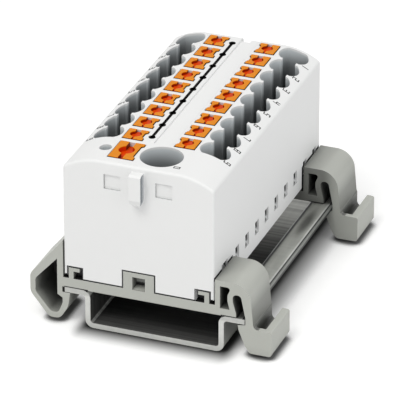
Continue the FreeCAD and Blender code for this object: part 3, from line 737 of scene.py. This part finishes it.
def white_plastic(skin):
    """Housing plastic, with painted shade inside its entries, on the rib's side, on the dimples'
    walls and in its joints.
    """
    material, g, shader = principled("white_plastic", specular=0.35)
    colour = finish_with(
        g, skin, shader, strength=0.12, Color=WHITE, Drift=0.012, Base_Roughness=0.5
    )
    x, y, z = g.block_place()
    entry_shade_tones = [(TOP_Z - depth, cool(value)) for depth, value in ENTRY_SHADES]
    rib_side_shade, left_edge_shade, low_edge_shade = front_edge_shades(g, x, y, z)
    for mask, tone in (
        (entry_shade_mask(g, x, y, z), g.ramp(z, entry_shade_tones)),
        (rib_side_shade, g.ramp(y, RIB_SIDE_SHADE_TONES)),
        (left_edge_shade, DIMPLE_LEFT_SHADE),
        (low_edge_shade, DIMPLE_LOW_SHADE),
        (joint_shade_mask(g, x, y, z), JOINT_SHADE_TONE),
    ):
        colour = g.paint(mask, colour, tone)
    g.link(colour, shader.inputs["Base Color"])
    return material


def terminal_dy(g, y):
    """Place along the block from the middle of the nearest terminal."""
    cell = g.math("MODULO", g.math("SUBTRACT", y, FIRST_Y - PITCH / 2), PITCH)
    return g.math("SUBTRACT", cell, PITCH / 2)


def cover_plastic(skin):
    """Cover plastic: pale catches in the windows, with painted shade in the gaps beside them and
    on the floor.
    """
    material, g, shader = principled("cover_plastic", specular=0.35)
    colour = finish_with(
        g, skin, shader, strength=0.12, Color=COVER, Drift=0.02, Base_Roughness=0.5
    )
    x, y, z = g.block_place()
    catch = g.band(g.absolute(x), *CATCH_X)
    dy = terminal_dy(g, y)
    lip_gap_shade = g.all_of(catch, g.band(z, *LIP_GAP_Z), g.band(dy, *LIP_GAP_Y))
    side_gap_shade = g.all_of(
        catch, g.band(dy, *SIDE_GAP_Y), g.inside(z, *SIDE_GAP_Z, SIDE_GAP_SOFT)
    )
    colour = g.paint(g.band(z, *COVER_FLOOR_Z), colour, COVER_FLOOR_SHADE)
    colour = g.paint(lip_gap_shade, colour, LIP_GAP_SHADE)
    colour = g.paint(side_gap_shade, colour, SIDE_GAP_SHADE)
    g.link(colour, shader.inputs["Base Color"])
    return material


def rail_across(g, x):
    """Distance from the rail's middle, across it."""
    return g.absolute(g.math("ADD", x, BLOCK_X))


def hollow_mask(g, x, z, normal, centre, reach):
    """Walls that face a hollow's middle, given in the XZ plane, within a reach."""
    nx, ny, nz = normal
    dx = g.math("SUBTRACT", x, centre[0])
    dz = g.math("SUBTRACT", z, centre[1])
    away = g.math("ADD", g.math("MULTIPLY", dx, nx), g.math("MULTIPLY", dz, nz))
    near = g.below(g.distance(x, z, centre), reach, HOLLOW_SOFT)
    along = g.band(g.absolute(ny), *STANDS_BESIDE)
    return g.all_of(g.band(away, *HOLLOW_TURN), near, along)


def shade_hollows(g, colour, place, normal):
    """Painted shade on the walls down the claw, the tower and the flex slot, and on the web at
    their end.
    """
    x, _, z, depth = place
    shade = g.ramp(depth, HOLLOW_SHADE_TONES)
    claw = hollow_mask(g, x, z, normal, *CLAW_HOLLOW)
    tower = hollow_mask(g, x, z, normal, *TOWER_HOLLOW)
    slot = hollow_mask(g, x, z, normal, *SLOT_HOLLOW)
    colour = g.darken(claw, colour, g.paint(CLAW_PALER, shade, 1.0))
    colour = g.darken(g.any_of(tower, slot), colour, shade)
    web = g.all_of(g.band(normal[1], *FACES_BACK), g.inside(depth, *WEB_DEPTH))
    return g.paint(web, colour, g.ramp(z, WEB_SHADE_TONES))


def shade_under_block(g, colour, place, normal):
    """Painted shade on the plate under the block, on the sides of the boss, and in corners that
    see little light.
    """
    x, _, z, _ = place
    nx, _, nz = normal
    side = g.absolute(x)
    under_block = g.all_of(
        g.band(nz, *FACES), g.band(z, *UNDER_BLOCK_Z), g.band(side, *UNDER_BLOCK_X)
    )
    boss_side = g.all_of(
        g.band(g.absolute(nx), *FACES), g.inside(side, *BOSS_SIDE_X), g.band(z, *BOSS_SIDE_Z)
    )
    colour = g.paint(g.any_of(under_block, boss_side), colour, UNDER_BLOCK_SHADE)
    return g.darken(g.band(g.openness(CORNER_REACH), *CORNER_OPEN), colour, CORNER_SHADE)


def shade_boss_window(g, colour, place, normal):
    """Painted shade on the back and painted light on the floor of the window in the boss."""
    x, _, z, depth = place
    window = g.all_of(
        g.below(g.absolute(x), BOSS_WINDOW_HALF, WINDOW_SOFT),
        g.inside(z, *WINDOW_Z),
        g.inside(depth, *WINDOW_Y),
    )
    back = g.all_of(window, g.band(normal[1], *FACES_BACK))
    floor = g.all_of(window, g.band(normal[2], *FACES))
    colour = g.paint(back, colour, g.ramp(z, WINDOW_BACK_SHADE_TONES))
    return g.paint(floor, colour, WINDOW_FLOOR_LIGHT)


def shade_towers(g, colour, place, normal):
    """Painted shade on the right side, ledge and crest of the towers, and on the front of the
    rear adapter.
    """
    x, y, z, depth = place
    nx, ny, nz = normal
    outward_shade = g.all_of(
        g.band(nx, *TOWER_FACES), g.band(x, *TOWER_X_FROM), g.band(x, *TOWER_X_TO)
    )
    tones = g.darken(1.0, g.ramp(z, TOWER_SHADE_TONES), g.ramp(depth, TOWER_BACK_SHADE_TONES))
    slanting = g.band(nz, *FACES_PARTLY)
    ledge = g.all_of(slanting, g.band(z, *LEDGE_Z), g.inside(x, *LEDGE_X))
    rear_front = g.all_of(g.band(ny, *FACES_BACK), g.band(y, *REAR_FRONT_Y))
    rear_front_shade = g.paint(g.band(x, *REAR_FRONT_X), REAR_FRONT_SHADE_LEFT, REAR_FRONT_SHADE_RIGHT)
    crest = g.all_of(slanting, g.band(z, *CREST_Z), g.band(x, *CREST_X))
    for mask, tone in (
        (outward_shade, tones),
        (ledge, LEDGE_SHADE),
        (rear_front, rear_front_shade),
        (crest, g.ramp(x, CREST_SHADE_TONES)),
    ):
        colour = g.darken(mask, colour, tone)
    return colour


def shade_rail_joint(g, colour, place, normal):
    """Painted shade: a dark line where an adapter's front sits on the rail's flanges."""
    x, _, z, _ = place
    joint = g.all_of(
        g.band(normal[1], *FACES_BACK),
        g.band(z, *RAIL_JOINT_TOP),
        g.band(z, *RAIL_JOINT_FOOT),
        g.inside(rail_across(g, x), *RAIL_JOINT_ACROSS),
    )
    return g.paint(joint, colour, RAIL_JOINT_SHADE)


def grey_plastic(skin, rub):
    """Adapter plastic, with painted shade down its hollows, under the block, in corners and on
    the towers.
    """
    material, g, shader = principled("grey_plastic", specular=0.3)
    plain = finish_with(
        g, skin, shader, strength=0.15, Color=GREY, Drift=0.05, Base_Roughness=0.5
    )
    x, y, z = g.block_place()
    depth = g.math("MODULO", y, ADAPTER_STEP)
    place = (x, y, z, depth)
    normal = g.facing()
    colour = rubbed(g, rub, plain, GREY_RUBBED, amount=0.3)
    for shade in (
        shade_hollows,
        shade_under_block,
        shade_boss_window,
        shade_towers,
        shade_rail_joint,
    ):
        colour = shade(g, colour, place, normal)
    g.link(colour, shader.inputs["Base Color"])
    return material


def orange_plastic(skin, rub, name, dx, dy, seat, wall_shade):
    """Button plastic: painted shade, red down in the tool seat and dark on the sides in the gap.

    dx and dy give a point's place from the button's middle, in millimetres.
    """
    seat_r, seat_depth = seat
    material, g, shader = principled(name, specular=0.12)
    plain = finish_with(
        g, skin, shader, strength=0.12, Color=ORANGE, Drift=0.05, Base_Roughness=0.42
    )
    x, y, z = g.block_place()
    colour = rubbed(g, rub, plain, ORANGE_RUBBED, amount=0.2)
    _, _, nz = g.facing()
    a = dx(g, x)
    out = g.math("SUBTRACT", g.distance(a, dy(g, y), (0.0, 0.0)), seat_r)
    down = g.math("SUBTRACT", BUTTON_TOP_Z, z)
    from_floor = g.math("SUBTRACT", down, seat_depth)
    upright = g.band(g.absolute(nz), *STANDS_BESIDE)
    outside = g.band(out, *BUTTON_SIDE_RIM)
    seat_floor_shade = g.all_of(g.band(from_floor, *SEAT_FLOOR_START), g.band(nz, *SEAT_FLOOR_FACES))
    seat_wall_shade = g.all_of(g.band(down, *SEAT_START), g.band(out, *SEAT_RIM), upright)
    side = g.all_of(upright, g.band(down, *BUTTON_SIDE_START), outside)
    slot_width = [seat_r * share for share in SLOT_WIDTH]
    slot_end_shade = g.all_of(side, g.band(g.absolute(a), *slot_width), outside)
    for mask, tone in (
        (seat_floor_shade, SEAT_FLOOR_SHADE),
        (seat_wall_shade, wall_shade),
        (side, BUTTON_SIDE_SHADE),
        (slot_end_shade, SLOT_END_SHADE),
    ):
        colour = g.paint(mask, colour, tone)
    g.link(colour, shader.inputs["Base Color"])
    return material


def small_button_dx(g, x):
    return g.math("SUBTRACT", g.absolute(x), BUTTON_X)


def infeed_button_dx(g, x):
    return g.math("SUBTRACT", x, INFEED_BUTTON[0])


def infeed_button_dy(g, y):
    return g.math("SUBTRACT", y, INFEED_BUTTON[1])


def rail_outside(g, place, normal):
    """Colour of the rail's flanges, edges, bends and walls, with painted highlights, painted
    shade and a painted reflection.
    """
    x, y, z = place
    nx, _, nz = normal
    side = g.absolute(nx)
    across = rail_across(g, x)
    colour = g.paint(g.band(nz, *FACES_PARTLY), RAIL_SIDE_SHADE, g.ramp(across, FLANGE_HIGHLIGHT_AND_SHADE_TONES))
    colour = g.paint(g.band(z, *RAIL_LOW_Z), RAIL_LOW_SHADE, colour)
    outer_edge_shade = g.all_of(g.band(side, *FACES_SIDE), g.band(across, *OUTER_EDGE))
    web_bend_highlight = g.all_of(
        g.band(side, *WEB_BEND_FACES), g.band(z, *WEB_BEND_Z), g.band(across, *WEB_BEND)
    )
    wall = g.all_of(
        g.band(side, *WALL_FACES),
        g.inside(across, *WALL),
        g.band(z, *WALL_TOP),
        g.band(z, *WALL_FOOT),
    )
    under_latch_shade = g.all_of(
        g.band(nz, *FACES),
        g.band(z, *UNDER_LATCH_Z),
        g.band(across, *UNDER_LATCH),
        g.band(x, *RIGHT_SIDE),
        g.band(g.openness(LATCH_REACH), *LATCH_OPEN),
    )
    for mask, tone in (
        (outer_edge_shade, g.ramp(z, OUTER_EDGE_SHADE_TONES)),
        (web_bend_highlight, WEB_BEND_HIGHLIGHT),
        (wall, g.ramp(z, WALL_SHADE_TONES)),
        (under_latch_shade, UNDER_LATCH_SHADE),
    ):
        colour = g.paint(mask, colour, tone)
    # Painted reflection on the flange: a dark spot near the rear adapter and stretched dark
    # blotches.
    stretched = g.math("MULTIPLY", across, PATCH_STRETCH)
    patch = g.distance(stretched, y, (PATCH_ACROSS * PATCH_STRETCH, PATCH_Y))
    reflection_haze = g.stretched_noise(scale=420.0, detail=2.0, stretch=(1.0, 0.35, 1.0))
    colour = g.darken(g.band(patch, *PATCH_FADE), colour, REFLECTION_PATCH_TONE)
    return g.darken(g.band(reflection_haze, *REFLECTION_HAZE), colour, REFLECTION_HAZE_TONE)


def rail_steel(strip):
    """Galvanised rail: even cut ends, painted shade and a painted highlight in the channel, pale
    flanges with painted highlights and shade.
    """
    material, g, shader = principled("galvanised_steel", specular=0.12, metallic=0.35)
    place = g.block_place()
    normal = g.facing()
    x, y, z = place
    nx, ny, _ = normal
    end = g.absolute(ny)
    colour = g.paint(g.band(end, *FACES_SIDE), rail_outside(g, place, normal), CUT_END_TONE)
    colour = g.darken(g.band(z, *HIGH_Z), colour, HIGH_TONE)
    channel = g.all_of(
        g.inside(x, *CHANNEL_X),
        g.band(z, *CHANNEL_TOP),
        g.band(z, *CHANNEL_FOOT),
        g.band(end, *STANDS_BESIDE),
    )
    left_wall_shade = g.all_of(channel, g.band(nx, *FACES_SIDE), g.band(y, *LEFT_WALL_Y))
    bend = g.all_of(
        channel,
        g.band(nx, *CHANNEL_BEND_FROM),
        g.band(nx, *CHANNEL_BEND_TO),
        g.band(z, *CHANNEL_BEND_Z),
    )
    roll = g.stretched_noise(scale=1300.0, detail=4.0, stretch=(0.02, 1.0, 0.02))
    rolled = g.all_of(channel, g.band(roll, *ROLLS))
    # Painted shade down the channel and on its left wall, and a painted highlight on its lower
    # bend.
    colour = g.paint(channel, colour, g.ramp(y, CHANNEL_SHADE_TONES))
    colour = g.paint(left_wall_shade, colour, LEFT_WALL_SHADE)
    colour = g.paint(bend, colour, CHANNEL_BEND_HIGHLIGHT)
    colour = g.darken(rolled, colour, ROLLS_TONE)
    finished = finish_with(
        g, strip, shader, strength=0.15, Color=colour, Contrast=0.12, Base_Roughness=0.42
    )
    g.link(finished, shader.inputs["Base Color"])
    return material


def bare_metal(strip, name, colour):
    material, g, shader = principled(name, metallic=1.0)
    finished = finish_with(
        g, strip, shader, strength=0.2, Color=colour, Contrast=0.2, Base_Roughness=0.3
    )
    g.link(finished, shader.inputs["Base Color"])
    return material


def printed_ink(skin):
    material, g, shader = principled("print_black", specular=0.02)
    finished = finish_with(
        g, skin, shader, strength=0.1, Color=as_tone(INK), Drift=0.3, Base_Roughness=0.6
    )
    g.link(finished, shader.inputs["Base Color"])
    return material


def assign(node, material):
    mesh = NODES[node].data
    mesh.materials.clear()
    mesh.materials.append(material)


def terminal_y(i):
    return FIRST_Y + PITCH * i


def crown_z(x):
    """Height of the block's top at x from its middle."""
    reach = HALF_W - CROWN_FLAT
    radius = (reach ** 2 + CROWN_DROP ** 2) / (2 * CROWN_DROP)
    off = max(0.0, abs(x) - CROWN_FLAT)
    return TOP_Z - (radius - math.sqrt(max(radius ** 2 - off ** 2, 0.0)))


def on_top(x, y, lift):
    return Vector((BLOCK_X + x, FRONT_Y + y, crown_z(x) + lift)) * MM


def close_prism(mesh, outline):
    """Thin closed plate of ink over an outline of (x, y) corners on the top."""
    top = [mesh.verts.new(on_top(x, y, INK_T)) for x, y in outline]
    base = [mesh.verts.new(on_top(x, y, -INK_T)) for x, y in outline]
    mesh.faces.new(top)
    mesh.faces.new(base[::-1])
    count = len(outline)
    for i in range(count):
        j = (i + 1) % count
        mesh.faces.new((top[j], top[i], base[i], base[j]))


def ink_bar(mesh, start, end, width, pieces=1):
    """Straight stroke of ink between two (x, y) points, laid over the crown."""
    a = Vector(start)
    b = Vector(end)
    along = (b - a).normalized()
    side = Vector((-along.y, along.x)) * (width / 2)
    a = a - along * (width / 2)
    b = b + along * (width / 2)
    for i in range(pieces):
        p = a.lerp(b, i / pieces)
        q = a.lerp(b, (i + 1) / pieces)
        close_prism(mesh, [tuple(p - side), tuple(q - side), tuple(q + side), tuple(p + side)])


def ink_dot(mesh, x, y, radius):
    outline = []
    for k in range(DOT_SIDES):
        turn = 2 * math.pi * k / DOT_SIDES
        outline.append((x + radius * math.cos(turn), y + radius * math.sin(turn)))
    close_prism(mesh, outline)


def ink_number(mesh, text, x, y):
    """Strokes of a plain digit: its height runs along +X, its width along -Y.

    A 1 has only right-hand strokes, so it moves back to the digit's middle.
    """
    shift = -0.5 if text == "1" else 0.0
    for key in DIGITS[text]:
        ends = []
        for across, up in STROKES[key]:
            u = (up - 0.5) * DIGIT_H
            v = -(across + shift - 0.5) * DIGIT_W
            ends.append((x + u, y + v))
        ink_bar(mesh, ends[0], ends[1], DIGIT_STROKE, pieces=2)


def ink_piece(name, mesh, material):
    data = bpy.data.meshes.new(name)
    bmesh.ops.recalc_face_normals(mesh, faces=mesh.faces)
    mesh.to_mesh(data)
    mesh.free()
    data.materials.append(material)
    piece = bpy.data.objects.new(name, data)
    bpy.context.scene.collection.objects.link(piece)
    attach(piece, "block")


def position_line(material):
    """Line with a dot beside every left button."""
    mesh = bmesh.new()
    first = terminal_y(0) + DOT_OFFSET
    last = terminal_y(PER_ROW - 1) + DOT_OFFSET
    ink_bar(mesh, (LINE_X, first), (LINE_X, last), LINE_W)
    for i in range(PER_ROW):
        ink_dot(mesh, LINE_X, terminal_y(i) + DOT_OFFSET, DOT_R)
    ink_piece("position_line", mesh, material)


def row_numbers(side, name, material):
    mesh = bmesh.new()
    for i in range(PER_ROW):
        ink_number(mesh, str(PER_ROW - i), side * NUMBER_X, terminal_y(i) + NUMBER_OFFSET)
    ink_piece(name, mesh, material)


def infeed_number(material):
    mesh = bmesh.new()
    ink_number(mesh, "0", *INFEED_NUMBER)
    ink_piece("infeed_number", mesh, material)


def pressed_spring(node):
    """Copy of a clamp spring, carried by the block in place of its CAD node."""
    data = NODES[node].data.copy()
    piece = bpy.data.objects.new(node + "_bow", data)
    bpy.context.scene.collection.objects.link(piece)
    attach(piece, "block")
    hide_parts(node)
    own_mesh(piece)


def dress_nodes(skin, rub, strip):
    """Give every CAD node its material."""
    orange = orange_plastic(
        skin, rub, "orange_plastic", small_button_dx, terminal_dy, SMALL_SEAT, SMALL_SEAT_WALL_SHADE
    )
    infeed_orange = orange_plastic(
        skin,
        rub,
        "infeed_orange_plastic",
        infeed_button_dx,
        infeed_button_dy,
        INFEED_SEAT,
        INFEED_SEAT_WALL_SHADE,
    )
    grey = grey_plastic(skin, rub)
    spring = bare_metal(strip, "spring_steel", SPRING_METAL)
    assign("housing", white_plastic(skin))
    assign("base_cover", cover_plastic(skin))
    assign("front_adapter", grey)
    assign("rear_adapter", grey)
    assign("mounting_rail", rail_steel(strip))
    assign("busbar", bare_metal(strip, "copper", COPPER))
    assign("infeed_button", infeed_orange)
    for node in NODES:
        if node.startswith("button"):
            assign(node, orange)
        if "spring" in node:
            assign(node, spring)


def add_springs():
    """A copy of the spring for every button's push joint."""
    for joint in frame["joints"]:
        button = joint["name"]
        if button.startswith("push"):
            end = button.removeprefix("push_")
            node = "infeed_spring" if end == "infeed" else "spring_" + end
            pressed_spring(node)


def rail_contact_shadow(g):
    """Painted shadow on the floor beside the rail's web, which lies flat on it: the share of
    light left.
    """
    x, y, _ = g.block_place()
    place = g.math("ADD", x, BLOCK_X)
    right = g.math("SUBTRACT", place, RAIL_WEB_HALF)
    right = g.math("MULTIPLY", right, g.band(y, *CONTACT_RIGHT))
    left = g.math("SUBTRACT", g.math("MULTIPLY", place, -1.0), RAIL_WEB_HALF)
    left = g.math("MULTIPLY", left, CONTACT_LEFT)
    middle = g.math("SUBTRACT", y, RAIL_L / 2)
    ahead = g.math("SUBTRACT", g.absolute(middle), RAIL_L / 2)
    beside = g.any_of(right, left, 0.0)
    away = g.distance(beside, g.any_of(ahead, 0.0), (0.0, 0.0))
    return g.band(away, *CONTACT_FADE)


def floor_and_backdrop():
    """White floor that keeps the block's soft lamp shadow, with a painted contact shadow around
    the block and beside the rail.
    """
    bpy.ops.mesh.primitive_plane_add(size=FLOOR_SIZE, location=(0, 0, -FLOOR_DROP))
    floor = bpy.context.object
    floor.name = "floor"
    material, g, shader = principled("floor_white", specular=0.1)
    shader.inputs["Roughness"].default_value = PAPER_ROUGHNESS
    open_share = g.band(g.openness(FLOOR_REACH, samples=16), *FLOOR_OPEN)
    rail_shadow = rail_contact_shadow(g)
    path = g.add("ShaderNodeLightPath")
    camera = g.any_of(path.outputs["Is Camera Ray"], path.outputs["Is Glossy Ray"])
    speck = g.noise(PAPER_SCALE, detail=2.0, vector=g.object_place())
    paper = g.paint(speck, PAPER_DARK, PAPER_PALE)
    # Painted contact shadow, seen by the camera and in reflections; the glow stays out of it.
    shaded = g.paint(open_share, CONTACT_SHADOW_TONE, paper)
    shaded = g.darken(1.0, shaded, g.grey_of(rail_shadow))
    g.link(g.paint(camera, paper, shaded), shader.inputs["Base Color"])
    glow = g.paint(g.all_of(camera, open_share, rail_shadow), 0.0, FLOOR_GLOW)
    g.link(glow, shader.inputs["Emission Color"])
    shader.inputs["Emission Strength"].default_value = 1.0
    floor.data.materials.append(material)


def world_light():
    """Even studio light; white to the camera and to shiny surfaces."""
    world = bpy.data.worlds.new("studio")
    bpy.context.scene.world = world
    world.use_nodes = True
    g = Graph(world.node_tree)
    shade = world.node_tree.nodes["Background"]
    shade.inputs["Color"].default_value = (1, 1, 1, 1)
    path = g.add("ShaderNodeLightPath")
    seen = g.any_of(
        path.outputs["Is Camera Ray"],
        path.outputs["Is Glossy Ray"],
        path.outputs["Is Transmission Ray"],
    )
    g.link(g.band(seen, 0.0, 1.0, WORLD_STRENGTH, 1.0), shade.inputs["Strength"])


def soft_lamp(name, place, size, power, colour):
    data = bpy.data.lights.new(name, "AREA")
    data.shape = "DISK"
    data.size = size
    data.energy = power
    data.color = colour
    lamp = bpy.data.objects.new(name, data)
    bpy.context.scene.collection.objects.link(lamp)
    lamp.location = place
    aim = Vector(LAMP_AIM) - Vector(place)
    lamp.rotation_mode = "QUATERNION"
    lamp.rotation_quaternion = aim.to_track_quat("-Z", "Y")


def photo_camera():
    data = bpy.data.cameras.new("photo_camera")
    camera = bpy.data.objects.new("photo_camera", data)
    bpy.context.scene.collection.objects.link(camera)
    bpy.context.scene.camera = camera
    data.sensor_width = SENSOR
    data.lens = SENSOR / 2 / math.tan(math.radians(FIELD_DEG) / 2)
    data.clip_start = CLIP_START
    data.clip_end = CLIP_END
    a = math.radians(AZIMUTH)
    e = math.radians(ELEVATION)
    back = Vector((math.sin(a) * math.cos(e), -math.cos(a) * math.cos(e), math.sin(e)))
    camera.location = Vector(AIM) * MM + back * DISTANCE * MM
    camera.rotation_mode = "QUATERNION"
    camera.rotation_quaternion = (-back).to_track_quat("-Z", "Y")


clear_start()
skin = moulded_skin_group()
dress_nodes(skin, edge_rub_group(), rolled_strip_group())
add_springs()

ink = printed_ink(skin)
position_line(ink)
row_numbers(1, "row_numbers_r", ink)
row_numbers(-1, "row_numbers_l", ink)
infeed_number(ink)

floor_and_backdrop()
world_light()
for lamp in LAMPS:
    soft_lamp(*lamp)
photo_camera()

bpy.context.scene.view_settings.view_transform = "Standard"
